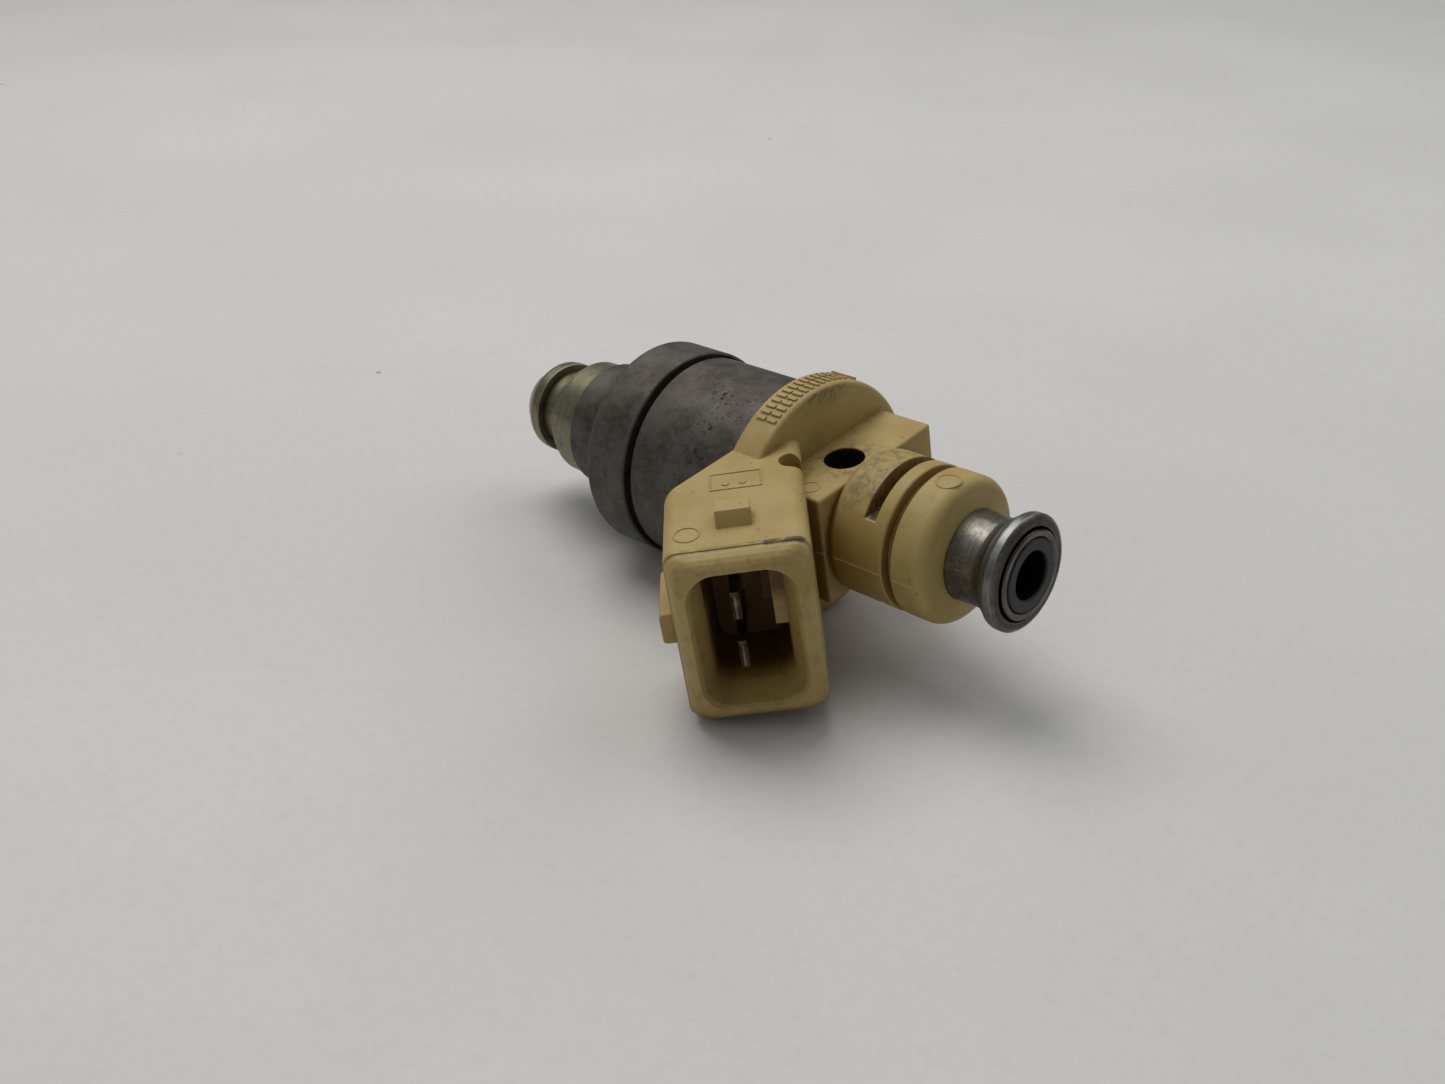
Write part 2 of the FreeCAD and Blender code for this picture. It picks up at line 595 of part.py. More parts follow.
def valve_seat():
    """The hardened seat: guide bore with four flutes, cone and outlet."""
    low, high = SEAT_X
    guide = BALL_R + 0.03
    seat = revolved([
        (low, SEAT_HOLE_R), (low, SEAT_R), (high, SEAT_R), (high, guide + 0.25),
        (high - 0.25, guide), (SEAT_APEX_X + guide, guide), (SEAT_APEX_X + SEAT_HOLE_R, SEAT_HOLE_R)])
    for quarter in range(4):
        turn = math.radians(90 * quarter + 45)
        y = 1.65 * math.cos(turn)
        z = 1.65 * math.sin(turn)
        seat = seat.cut(rod(0.38, SEAT_APEX_X + guide + 0.05, high + 1, y, z))
    return seat


def orifice_disc():
    """The thin spray disc with four holes."""
    disc = rod(STUB_R - 0.08, STUB_X - 0.28, STUB_X - GAP)
    for quarter in range(4):
        turn = math.radians(90 * quarter)
        disc = disc.cut(rod(0.14, -62, -60, 0.38 * math.cos(turn), 0.38 * math.sin(turn)))
    return disc


def armature():
    """The moving iron, with a spring pocket, a rod bore and four fuel holes."""
    low, high = ARMATURE_X
    iron = revolved([
        (low, ROD_R + 0.01), (low, 2.60), (low + 0.90, 3.30), (low + 0.90, ARMATURE_R - 0.15),
        (low + 1.05, ARMATURE_R), (high - 0.15, ARMATURE_R), (high, ARMATURE_R - 0.15),
        (high, 2.05), (SPRING_FLOOR_X, 2.05), (SPRING_FLOOR_X, ROD_R + 0.01)])
    for quarter in range(4):
        turn = math.radians(90 * quarter)
        iron = iron.cut(rod(0.40, -42, -30, 2.95 * math.cos(turn), 2.95 * math.sin(turn)))
    return iron


def valve_needle():
    """The needle rod with the collar that meets the stop plate."""
    collar_high = STOP_X[0] - LIFT - 0.03
    collar_low = collar_high - ROD_COLLAR_T
    return revolved([
        (SPRING_FLOOR_X - 0.05, 0), (SPRING_FLOOR_X - 0.05, ROD_R - 0.1), (SPRING_FLOOR_X - 0.15, ROD_R),
        (collar_high, ROD_R), (collar_high, ROD_COLLAR_R - 0.1), (collar_high - 0.1, ROD_COLLAR_R),
        (collar_low + 0.1, ROD_COLLAR_R), (collar_low, ROD_COLLAR_R - 0.1),
        (collar_low, ROD_R), (BALL_FLAT_X + GAP, ROD_R), (BALL_FLAT_X + GAP, 0)])


def valve_ball():
    """The sealing ball, with a flat where the needle is welded on."""
    ball = Part.makeSphere(BALL_R, V(BALL_X, 0, 0))
    return ball.cut(box((BALL_FLAT_X, BALL_X + 3), (-3, 3), (-3, 3)))


def seal_ring(centre_r, wire_r, x):
    """A rubber O-ring about the axis."""
    return Part.makeTorus(centre_r, wire_r, V(x, 0, 0), AXIS)


def rest_placement():
    """The turn and shift from the design frame to the resting pose."""
    roll = FreeCAD.Rotation(AXIS, REST_ROLL)
    tilt = FreeCAD.Rotation(V(0, 1, 0), -REST_TILT)
    return FreeCAD.Placement(V(0, 0, 0), tilt.multiply(roll))


NODES = {
    "plastic_overmould": overmould,
    "terminal_upper": lambda: terminal(1),
    "terminal_lower": lambda: terminal(-1),
    "inlet_tube": inlet_tube,
    "filter_ring": filter_ring,
    "filter_basket": filter_basket,
    "filter_mesh": filter_mesh,
    "adjusting_sleeve": adjusting_sleeve,
    "return_spring": return_spring,
    "can_housing": can_housing,
    "flux_washer": flux_washer,
    "coil_bobbin": coil_bobbin,
    "coil_winding": coil_winding,
    "guide_sleeve": guide_sleeve,
    "lower_plate": lower_plate,
    "housing_ring": housing_ring,
    "stop_plate": stop_plate,
    "valve_body": valve_body,
    "body_seal": lambda: seal_ring(6.76, 0.80, BODY_FLANGE_X[0] - 0.88),
    "nozzle_cap": nozzle_cap,
    "valve_seat": valve_seat,
    "orifice_disc": orifice_disc,
    "armature": armature,
    "valve_needle": valve_needle,
    "valve_ball": valve_ball,
}

os.makedirs("parts", exist_ok=True)
placement = rest_placement()
for name, make in NODES.items():
    shape = make()
    solids = shape.Solids
    if len(solids) != 1:
        raise ValueError(f"{name} has {len(solids)} solids")
    solid = solids[0]
    solid.Placement = placement.multiply(solid.Placement)
    solid.exportStep(f"parts/{name}.step")
    print(name, round(solid.Volume, 2), solid.isValid())
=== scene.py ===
import json
import math

import bpy
from mathutils import Euler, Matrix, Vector


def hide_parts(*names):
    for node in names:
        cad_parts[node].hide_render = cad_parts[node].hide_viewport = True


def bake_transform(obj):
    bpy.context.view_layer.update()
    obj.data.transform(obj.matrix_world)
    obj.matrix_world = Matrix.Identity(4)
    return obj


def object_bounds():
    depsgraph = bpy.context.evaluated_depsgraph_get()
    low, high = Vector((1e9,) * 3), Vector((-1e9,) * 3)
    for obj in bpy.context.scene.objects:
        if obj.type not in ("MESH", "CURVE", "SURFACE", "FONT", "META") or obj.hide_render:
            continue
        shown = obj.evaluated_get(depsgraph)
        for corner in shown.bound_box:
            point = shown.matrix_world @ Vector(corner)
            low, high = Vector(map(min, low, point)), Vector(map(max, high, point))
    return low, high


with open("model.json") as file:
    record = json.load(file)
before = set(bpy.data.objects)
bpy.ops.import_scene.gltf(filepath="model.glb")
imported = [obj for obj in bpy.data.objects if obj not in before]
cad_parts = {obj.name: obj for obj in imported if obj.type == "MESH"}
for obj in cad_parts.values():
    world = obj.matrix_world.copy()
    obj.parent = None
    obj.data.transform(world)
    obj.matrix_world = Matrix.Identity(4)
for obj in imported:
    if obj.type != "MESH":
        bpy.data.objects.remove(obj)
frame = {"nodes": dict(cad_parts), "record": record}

# A used fuel injector lying on a pale floor. Lengths are in metres, in the part's own frame:
# +Z up, +X along the injector towards its inlet, the electrical socket facing -Y.

MM = 0.001
cad_low, cad_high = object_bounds()
FLOOR_Z = cad_low.z
FLOOR_HALF = 3.0

# The injector lies tilted and rolled: these turn the level frame into the one it was drawn in
REST_TILT = math.radians(3.40)
REST_ROLL = math.radians(9.00)

# Camera
CAM_LENS = 38.2
CAM_AZIMUTH = 44.36
CAM_ELEVATION = 28.90
CAM_ROLL = 0.63
CAM_DISTANCE = 0.130
CAM_TARGET = Vector((-0.01894, -0.01735, 0.00224))

# Places on the drawing, in millimetres, that the finishes follow
PLUG_X, PLUG_Y = -14.46, -19.09         # middle of the connector's mouth
SOCKET_U, SOCKET_V = 3.6, 6.3           # half width and half height of the socket
SOCKET_BACK_W = -8.0                    # just behind the socket's back wall
CONNECTOR_TOP_V = 8.35
RIM_FACE_X = (-22.20, -21.90)
HOLE_X = -19.37
HOLE_R = 1.96
BLOCK_TOP_Z = 5.50
NECK_Y = -7.1                           # the neck and block end here, towards the connector
NECK_R = 6.90
SLOT_X = (-12.76, -11.42)
SLOT_FLOOR_Z = 4.30
BEAD_X = (-0.9, 0.0)                    # back and front of the inlet flange's bead
FLANGE_FACE_X = 0.38
FLANGE_FACE_R = 4.80
TUBE_DEPTH_X = -6.2                     # inside the plastic from here on
BORE_EDGE_X = 0.72

AO_SAMPLES = 8
BEVEL_SAMPLES = 6


# ---------------------------------------------------------------- node helpers

class Graph:
    """Short calls for building one material's nodes."""

    def __init__(self, name):
        self.material = bpy.data.materials.new(name)
        self.material.use_nodes = True
        self.tree = self.material.node_tree
        self.tree.nodes.clear()
        self.out = self.tree.nodes.new("ShaderNodeOutputMaterial")
        self.bsdf = self.tree.nodes.new("ShaderNodeBsdfPrincipled")
        self.tree.links.new(self.bsdf.outputs[0], self.out.inputs["Surface"])

    def node(self, kind, **settings):
        made = self.tree.nodes.new(kind)
        for key, value in settings.items():
            setattr(made, key, value)
        return made

    def link(self, source, target):
        self.tree.links.new(source, target)

    def feed(self, socket, value):
        """Links a socket, or sets a constant."""
        if isinstance(value, bpy.types.NodeSocket):
            self.link(value, socket)
        else:
            socket.default_value = value

    def math(self, operation, a, b=0.0, clamp=False):
        made = self.node("ShaderNodeMath", operation=operation, use_clamp=clamp)
        self.feed(made.inputs[0], a)
        self.feed(made.inputs[1], b)
        return made.outputs[0]

    def times(self, first, *others):
        """The product of all the values."""
        for other in others:
            first = self.math("MULTIPLY", first, other)
        return first

    def mix(self, factor, a, b):
        """Mixes two colours."""
        made = self.node("ShaderNodeMix", data_type="RGBA", clamp_factor=True)
        self.feed(made.inputs[0], factor)
        self.feed(made.inputs[6], a)
        self.feed(made.inputs[7], b)
        return made.outputs[2]

    def paint(self, tint, colour, strength, *covers):
        """Lays a colour over tint where every cover is 1, up to strength."""
        return self.mix(self.math("MULTIPLY", self.times(*covers), strength), tint, colour)

    def ramp(self, value, low, high, out_low=0.0, out_high=1.0):
        """Maps value from low..high to out_low..out_high, clamped and smooth."""
        made = self.node("ShaderNodeMapRange", interpolation_type="SMOOTHSTEP")
        self.feed(made.inputs[0], value)
        for socket, number in zip(made.inputs[1:5], (low, high, out_low, out_high)):
            socket.default_value = number
        return made.outputs[0]

    def band(self, value, low, high, soft):
        """1 between low and high, falling to 0 over soft on either side."""
        return self.times(self.ramp(value, low - soft, low), self.ramp(value, high + soft, high))

    def noise(self, vector, scale, detail, rough, seed):
        made = self.node("ShaderNodeTexNoise", noise_dimensions="4D")
        self.feed(made.inputs["Vector"], vector)
        made.inputs["W"].default_value = seed
        made.inputs["Scale"].default_value = scale
        made.inputs["Detail"].default_value = detail
        made.inputs["Roughness"].default_value = rough
        return made.outputs[0]

    def cells(self, vector, scale, seed):
        """Distance to the nearest of a cloud of random points."""
        made = self.node("ShaderNodeTexVoronoi", voronoi_dimensions="4D")
        self.feed(made.inputs["Vector"], vector)
        made.inputs["W"].default_value = seed
        made.inputs["Scale"].default_value = scale
        return made.outputs["Distance"]

    def turned(self, vector, axis, angle):
        made = self.node("ShaderNodeVectorRotate", rotation_type="AXIS_ANGLE")
        self.link(vector, made.inputs["Vector"])
        made.inputs["Axis"].default_value = axis
        made.inputs["Angle"].default_value = angle
        return made.outputs[0]

    def drawn(self):
        """Position in millimetres in the frame the injector was drawn in, X along its axis."""
        place = self.node("ShaderNodeTexCoord").outputs["Object"]
        level = self.turned(place, (0, 1, 0), REST_TILT)
        unrolled = self.turned(level, (1, 0, 0), -REST_ROLL)
        scale = self.node("ShaderNodeVectorMath", operation="SCALE")
        self.link(unrolled, scale.inputs[0])
        scale.inputs["Scale"].default_value = 1 / MM
        return scale.outputs[0]

    def split(self, vector):
        made = self.node("ShaderNodeSeparateXYZ")
        self.link(vector, made.inputs[0])
        return made.outputs

    def stretched(self, vector, sx, sy, sz):
        made = self.node("ShaderNodeVectorMath", operation="MULTIPLY")
        self.link(vector, made.inputs[0])
        made.inputs[1].default_value = (sx, sy, sz)
        return made.outputs[0]

    def distance(self, a, b):
        """How far the point (a, b) is from (0, 0)."""
        return self.math("SQRT", self.math("ADD", self.math("POWER", a, 2.0), self.math("POWER", b, 2.0)))

    def hollow(self, distance_mm):
        """1 in corners and recesses, 0 in the open."""
        made = self.node("ShaderNodeAmbientOcclusion", samples=AO_SAMPLES, only_local=False)
        made.inputs["Distance"].default_value = distance_mm * MM
        return self.math("SUBTRACT", 1.0, made.outputs["AO"])

    def soft_edges(self, radius_mm):
        """The surface's normal, with its edges rounded."""
        made = self.node("ShaderNodeBevel", samples=BEVEL_SAMPLES)
        made.inputs["Radius"].default_value = radius_mm * MM
        return made.outputs[0]

    def edge(self, radius_mm):
        """1 along edges, 0 on flats."""
        flat = self.node("ShaderNodeNewGeometry").outputs["Normal"]
        dot = self.node("ShaderNodeVectorMath", operation="DOT_PRODUCT")
        self.link(self.soft_edges(radius_mm), dot.inputs[0])
        self.link(flat, dot.inputs[1])
        return self.ramp(dot.outputs["Value"], 0.99, 0.85)

    def bump(self, height, strength, distance_mm, base=None):
        made = self.node("ShaderNodeBump")
        made.inputs["Strength"].default_value = strength
        made.inputs["Distance"].default_value = distance_mm * MM
        self.link(height, made.inputs["Height"])
        if base is not None:
            self.link(base, made.inputs["Normal"])
        return made.outputs[0]

    def done(self, colour, rough, normal, **fixed):
        self.feed(self.bsdf.inputs["Base Color"], colour)
        self.feed(self.bsdf.inputs["Roughness"], rough)
        self.link(normal, self.bsdf.inputs["Normal"])
        for key, value in fixed.items():
            self.feed(self.bsdf.inputs[key.replace("_", " ")], value)
        return self.material


def rgb(r, g, b):
    """A colour given as sRGB bytes, as the linear values that shaders take."""
    def linear(c):
        c = c / 255
        return c / 12.92 if c <= 0.04045 else ((c + 0.055) / 1.055) ** 2.4
    return (linear(r), linear(g), linear(b), 1.0)


# ---------------------------------------------------------------- moulded plastic

def plug_place(g, x, y, z):
    """Distances across (u), up (v) and outwards (w) from the connector's mouth, in millimetres."""
    half = math.sqrt(0.5)
    dx = g.math("MULTIPLY", g.math("SUBTRACT", x, PLUG_X), half)
    dy = g.math("MULTIPLY", g.math("SUBTRACT", y, PLUG_Y), half)
    return g.math("ADD", dx, dy), z, g.math("SUBTRACT", dx, dy)


def paint_socket_shade(g, tint, u, v, w):
    """Painted shade: dark brown inside the socket, which starts further out in its upper half, where it is a
    painted shadow of the mouth's top edge.
    """
    high = g.ramp(g.math("ABSOLUTE", v), SOCKET_V + 0.3, SOCKET_V)
    wide = g.ramp(g.math("ABSOLUTE", u), SOCKET_U + 0.3, SOCKET_U)
    # Painted shadow of the mouth's top edge on the socket's upper half.
    mouth_top_shadow = g.times(g.ramp(w, -1.2, -1.9), g.ramp(v, 0.6, 3.0))
    deep = g.math("MAXIMUM", g.ramp(w, -1.6, -4.0), mouth_top_shadow)
    in_front = g.ramp(w, SOCKET_BACK_W - 0.6, SOCKET_BACK_W)
    return g.paint(tint, rgb(84, 50, 14), 0.84, high, wide, deep, in_front)


def dirty_slot(g, tint, p, x, z, radius, on_neck):
    """Tar on the upper clip slot's floor, flecks on its walls and a smear beside it."""
    height = g.math("ABSOLUTE", z)
    in_slot = g.times(g.band(x, *SLOT_X, 0.03), g.times(on_neck, g.ramp(z, 0.0, 2.0)))
    in_slot = g.times(in_slot, g.ramp(radius, 6.80, 6.70))
    floor = g.times(in_slot, g.ramp(height, SLOT_FLOOR_Z + 0.25, SLOT_FLOOR_Z))
    tint = g.paint(tint, rgb(30, 25, 18), 0.88, floor, g.ramp(g.noise(p, 2.3, 6, 0.75, 2.7), 0.40, 0.52))
    flecks = g.times(in_slot, g.ramp(g.noise(p, 2.6, 5, 0.75, 13.1), 0.48, 0.56))
    low_wall = g.ramp(height, 6.4, 4.7, 0.30, 1.0)
    tint = g.paint(tint, rgb(38, 31, 22), 0.80, flecks, low_wall)
    near_slot = g.times(g.band(x, -15.2, -12.8, 0.9), g.times(on_neck, g.ramp(z, 3.4, 6.0)))
    return g.paint(tint, rgb(84, 74, 52), 0.62, near_slot, g.ramp(g.noise(p, 1.2, 6, 0.75, 2.2), 0.44, 0.62))


def dirty_rim(g, tint, p, x, y, z):
    """A smudge high on the rim's face."""
    on_rim = g.times(g.band(x, *RIM_FACE_X, 0.05), g.band(y, -0.5, 3.5, 1.8), g.ramp(z, 8.9, 10.7))
    return g.paint(tint, rgb(64, 52, 34), 0.55, on_rim, g.ramp(g.noise(p, 1.5, 6, 0.75, 17.0), 0.40, 0.60))


def soot_and_hole_shade(g, tint, p, x, y, z, on_neck):
    """Soot round the block's hole, and painted shade inside it: near black."""
    from_hole = g.distance(g.math("SUBTRACT", x, HOLE_X), y)
    on_block = g.times(on_neck, g.ramp(z, BLOCK_TOP_Z - 0.7, BLOCK_TOP_Z - 0.1))
    near_hole = g.times(g.ramp(from_hole, 4.8, 2.2), on_block, g.ramp(x, -22.0, -21.2))
    tint = g.paint(tint, rgb(70, 60, 42), 0.60, near_hole, g.ramp(g.noise(p, 1.3, 6, 0.75, 4.4), 0.46, 0.60))
    # Painted shade: near black down inside the hole.
    below = g.ramp(z, BLOCK_TOP_Z, BLOCK_TOP_Z - 0.2)
    hole_shade = g.times(g.ramp(from_hole, HOLE_R + 0.14, HOLE_R), below, g.ramp(z, 0.0, 1.0))
    return g.mix(g.math("MULTIPLY", hole_shade, 0.97), tint, rgb(14, 12, 9))


def dirty_mouth(g, tint, p, u, v, w):
    """A black line where the connector's top meets its lip, and grime on the lip."""
    seam = g.times(g.band(w, -0.34, 0.16, 0.10), g.ramp(v, CONNECTOR_TOP_V - 0.35, CONNECTOR_TOP_V))
    seam = g.times(seam, g.ramp(g.noise(p, 0.9, 5, 0.7, 8.8), 0.40, 0.54), g.ramp(u, 0.5, 3.2, 0.30, 1.0))
    tint = g.mix(g.math("MULTIPLY", seam, 0.85), tint, rgb(34, 27, 18))
    lip = g.ramp(w, -0.1, 0.5)
    return g.paint(tint, rgb(104, 84, 50), 0.34, lip, g.ramp(g.noise(p, 1.0, 6, 0.7, 12.4), 0.46, 0.68))


def parting_line_and_highlight(g, tint, x, z, radius, on_neck):
    """The mould's parting line along the neck and drum, painted pale: a painted highlight standing in for
    the light its small ridge catches.
    """
    flash_highlight = g.times(g.ramp(g.math("ABSOLUTE", z), 0.16, 0.08), g.ramp(radius, NECK_R - 0.06, NECK_R))
    return g.paint(tint, rgb(216, 196, 144), 0.55, flash_highlight, g.times(on_neck, g.ramp(x, -18.0, -16.0)))


def moulded_plastic():
    """Aged natural nylon: fine grain, warm blotches, dirt in the clip slot, round the hole and in the
    corners, painted shade in hollows, corners, the socket and the hole, and a painted highlight along the
    edges and the parting line.
    """
    g = Graph("moulded_plastic")
    p = g.drawn()
    x, y, z = g.split(p)
    u, v, w = plug_place(g, x, y, z)
    radius = g.distance(y, z)
    on_neck = g.ramp(y, NECK_Y - 0.4, NECK_Y)
    cloud = g.noise(p, 0.8, 5, 0.6, 7.7)
    grain = g.noise(p, 9.0, 4, 0.7, 1.4)
    fine = g.noise(p, 28.0, 2, 0.6, 5.2)
    tint = g.mix(g.ramp(g.noise(p, 0.16, 4, 0.6, 3.1), 0.38, 0.66), rgb(177, 154, 97), rgb(166, 140, 80))
    tint = g.mix(g.ramp(cloud, 0.50, 0.78, 0.0, 0.45), tint, rgb(183, 162, 108))
    tint = g.mix(g.ramp(grain, 0.35, 0.7, 0.0, 0.22), tint, rgb(150, 126, 72))
    # Painted shade: a warm brown where the plastic is closed in within 9 mm, standing in for its saturated
    # shaded sides.
    tint = g.paint(tint, rgb(138, 97, 32), 0.82, g.ramp(g.hollow(9.0), 0.30, 0.95))
    # Painted shade: the plastic goes darker brown in corners within 2.2 mm. The same measure also places the
    # patchy dirt below.
    corner = g.hollow(2.2)
    tint = g.mix(g.ramp(corner, 0.20, 0.95, 0.0, 0.50), tint, rgb(128, 92, 34))
    # Painted shade inside the socket.
    tint = paint_socket_shade(g, tint, u, v, w)
    handled = g.ramp(g.noise(p, 1.1, 5, 0.7, 9.9), 0.50, 0.66)
    tint = g.paint(tint, rgb(92, 74, 44), 0.38, g.ramp(corner, 0.10, 0.45), handled)
    tint = dirty_slot(g, tint, p, x, z, radius, on_neck)
    tint = dirty_rim(g, tint, p, x, y, z)
    tint = soot_and_hole_shade(g, tint, p, x, y, z, on_neck)
    tint = dirty_mouth(g, tint, p, u, v, w)
    tint = parting_line_and_highlight(g, tint, x, z, radius, on_neck)
    tint = g.paint(tint, rgb(62, 48, 26), 0.50, g.ramp(g.cells(p, 1.05, 6.0), 0.18, 0.11))
    # Painted highlight: lighter along the edges.
    tint = g.paint(tint, rgb(206, 188, 134), 0.22, g.edge(0.20))
    rough = g.ramp(cloud, 0.3, 0.7, 0.48, 0.62)
    normal = g.bump(g.math("ADD", grain, g.math("MULTIPLY", fine, 0.5)), 0.20, 0.05, g.soft_edges(0.16))
    return g.done(tint, rough, normal, Specular_IOR_Level=0.42, Subsurface_Weight=0.06,
                  Subsurface_Scale=0.0010, Subsurface_Radius=(1.0, 0.60, 0.22))


# ---------------------------------------------------------------- other materials

def lathe_marks(g, p, fine):
    """Thin rings round the injector's axis, broken up by noise."""
    return g.noise(g.stretched(p, fine, 0.22, 0.22), 1.0, 5, 0.7, 12.0)


def can_steel():
    """Dull grey zinc-iron can: turning rings, tarnish clouds, black pits and some rust."""
    g = Graph("can_steel")
    p = g.drawn()
    x = g.split(p)[0]
    rings = lathe_marks(g, p, 5.0)
    haze = g.noise(p, 1.6, 5, 0.65, 8.3)
    tint = g.mix(g.ramp(g.noise(p, 0.35, 6, 0.62, 1.7), 0.35, 0.65), rgb(92, 89, 83), rgb(66, 60, 52))
    tint = g.mix(g.ramp(haze, 0.45, 0.70, 0.0, 0.55), tint, rgb(104, 97, 86))
    tint = g.mix(g.ramp(rings, 0.42, 0.62, 0.0, 0.16), tint, rgb(62, 60, 56))
    area = g.times(g.ramp(g.noise(p, 0.22, 3, 0.5, 4.6), 0.40, 0.56), g.ramp(x, -37.5, -30.0, 0.25, 1.0))
    large = g.ramp(g.cells(p, 0.95, 2.0), 0.36, 0.26)
    small = g.ramp(g.cells(p, 2.3, 9.0), 0.36, 0.27)
    ragged = g.ramp(g.noise(p, 2.4, 5, 0.7, 6.1), 0.40, 0.52)
    pits = g.times(g.math("MAXIMUM", large, small), ragged)
    pits = g.math("MULTIPLY", pits, g.math("ADD", g.math("MULTIPLY", area, 0.95), 0.10), clamp=True)
    tint = g.mix(pits, tint, rgb(22, 19, 17))
    rust_area = g.ramp(g.noise(p, 0.42, 4, 0.6, 21.0), 0.60, 0.70)
    rust = g.times(rust_area, g.ramp(g.noise(p, 2.3, 5, 0.75, 15.0), 0.52, 0.62))
    tint = g.paint(tint, rgb(92, 44, 22), 0.85, rust)
    # Painted shade: near black in grooves and hollows within 0.9 mm.
    tint = g.mix(g.ramp(g.hollow(0.9), 0.35, 0.95, 0.0, 0.70), tint, rgb(26, 22, 18))
    # Lighter along edges: partly rubbed wear, partly a painted highlight.
    tint = g.paint(tint, rgb(150, 146, 138), 0.45, g.edge(0.25))
    worn_away = g.math("MULTIPLY", g.math("MAXIMUM", pits, rust), 0.6)
    metal = g.math("SUBTRACT", 0.62, worn_away, clamp=True)
    rough = g.math("ADD", g.ramp(haze, 0.3, 0.7, 0.50, 0.64), g.math("MULTIPLY", pits, 0.25))
    height = g.math("SUBTRACT", g.math("MULTIPLY", rings, 0.35), pits)
    height = g.math("ADD", height, g.math("MULTIPLY", g.noise(p, 6.0, 4, 0.7, 3.3), 0.35))
    return g.done(tint, rough, g.bump(height, 0.26, 0.06, g.soft_edges(0.15)), Metallic=metal)


def zinc_plate():
    """Yellow-passivated zinc: green, gold and pink films over fine turning rings."""
    g = Graph("zinc_plate")
    p = g.drawn()
    rings = lathe_marks(g, p, 9.0)
    film = g.noise(g.stretched(p, 0.8, 0.35, 0.35), 1.0, 4, 0.6, 2.4)
    tint = g.mix(g.ramp(film, 0.32, 0.48), rgb(126, 130, 114), rgb(138, 133, 104))
    tint = g.mix(g.ramp(film, 0.50, 0.60, 0.0, 0.7), tint, rgb(134, 114, 104))
    tint = g.mix(g.ramp(film, 0.60, 0.72), tint, rgb(102, 112, 106))
    tint = g.mix(g.ramp(rings, 0.40, 0.62, 0.0, 0.35), tint, rgb(74, 76, 66))
    tint = g.paint(tint, rgb(78, 76, 70), 0.55, g.ramp(g.noise(p, 1.4, 5, 0.7, 5.5), 0.50, 0.70))
    # Painted shade: near black in grooves and hollows within 1.5 mm.
    tint = g.mix(g.ramp(g.hollow(1.5), 0.18, 0.80, 0.0, 0.92), tint, rgb(24, 22, 14))
    # Lighter along edges: partly rubbed wear, partly a painted highlight.
    tint = g.paint(tint, rgb(196, 192, 164), 0.5, g.edge(0.15))
    rough = g.ramp(rings, 0.3, 0.7, 0.30, 0.46)
    return g.done(tint, rough, g.bump(rings, 0.18, 0.03, g.soft_edges(0.12)), Metallic=0.86)


def worn_steel():
    """Bare drawn steel, rubbed bright on its flange and high spots and brown between them, with a painted
    highlight on the bead and edges and painted shade in the flange's recess, the hollows and deep inside.
    """
    g = Graph("worn_steel")
    p = g.drawn()
    x, y, z = g.split(p)
    rings = lathe_marks(g, p, 8.0)
    cloud = g.noise(p, 0.8, 6, 0.66, 6.6)
    tint = g.mix(g.ramp(cloud, 0.36, 0.62), rgb(132, 130, 123), rgb(102, 97, 87))
    tint = g.mix(g.ramp(rings, 0.42, 0.62, 0.0, 0.5), tint, rgb(80, 76, 69))
    scratch = g.ramp(g.noise(g.stretched(p, 1.2, 9.0, 9.0), 0.8, 3, 0.6, 31.0), 0.60, 0.72)
    tint = g.paint(tint, rgb(206, 202, 194), 0.45, scratch)
    stain = g.ramp(g.noise(p, 2.1, 5, 0.72, 14.0), 0.58, 0.72)
    tint = g.paint(tint, rgb(58, 48, 40), 0.55, stain)
    back, front = BEAD_X
    bead = g.times(g.ramp(x, back - 0.4, back), g.ramp(x, front + 0.25, front))
    # Lighter, bluish bead: rubbed metal, and a painted highlight on the flange's rim.
    tint = g.mix(g.times(bead, g.ramp(cloud, 0.40, 0.60, 0.10, 0.60)), tint, rgb(152, 158, 158))
    # Painted shade: darker on the flange's recessed front face, inside its bead.
    recess_shade = g.ramp(g.distance(y, z), FLANGE_FACE_R + 0.30, FLANGE_FACE_R, 0.25, 0.85)
    tint = g.mix(g.times(g.ramp(x, FLANGE_FACE_X - 0.23, FLANGE_FACE_X), recess_shade), tint, rgb(58, 52, 45))
    # Painted shade: near black in hollows within 1.2 mm.
    tint = g.mix(g.ramp(g.hollow(1.2), 0.30, 0.95, 0.0, 0.85), tint, rgb(20, 17, 14))
    # Lighter along edges: partly rubbed wear, partly a painted highlight.
    tint = g.paint(tint, rgb(206, 202, 194), 0.5, g.edge(0.18))
    # Painted shade: near black deep inside, where the tube runs into the plastic.
    tint = g.mix(g.ramp(x, TUBE_DEPTH_X + 0.6, TUBE_DEPTH_X), tint, rgb(12, 10, 8))
    rough = g.math("ADD", g.ramp(cloud, 0.3, 0.7, 0.32, 0.46), g.math("MULTIPLY", stain, 0.2))
    rough = g.math("MAXIMUM", rough, g.ramp(x, TUBE_DEPTH_X + 0.6, TUBE_DEPTH_X, 0.0, 0.8))
    height = g.math("ADD", rings, g.math("MULTIPLY", scratch, 0.4))
    return g.done(tint, rough, g.bump(height, 0.16, 0.03, g.soft_edges(0.12)), Metallic=0.95)


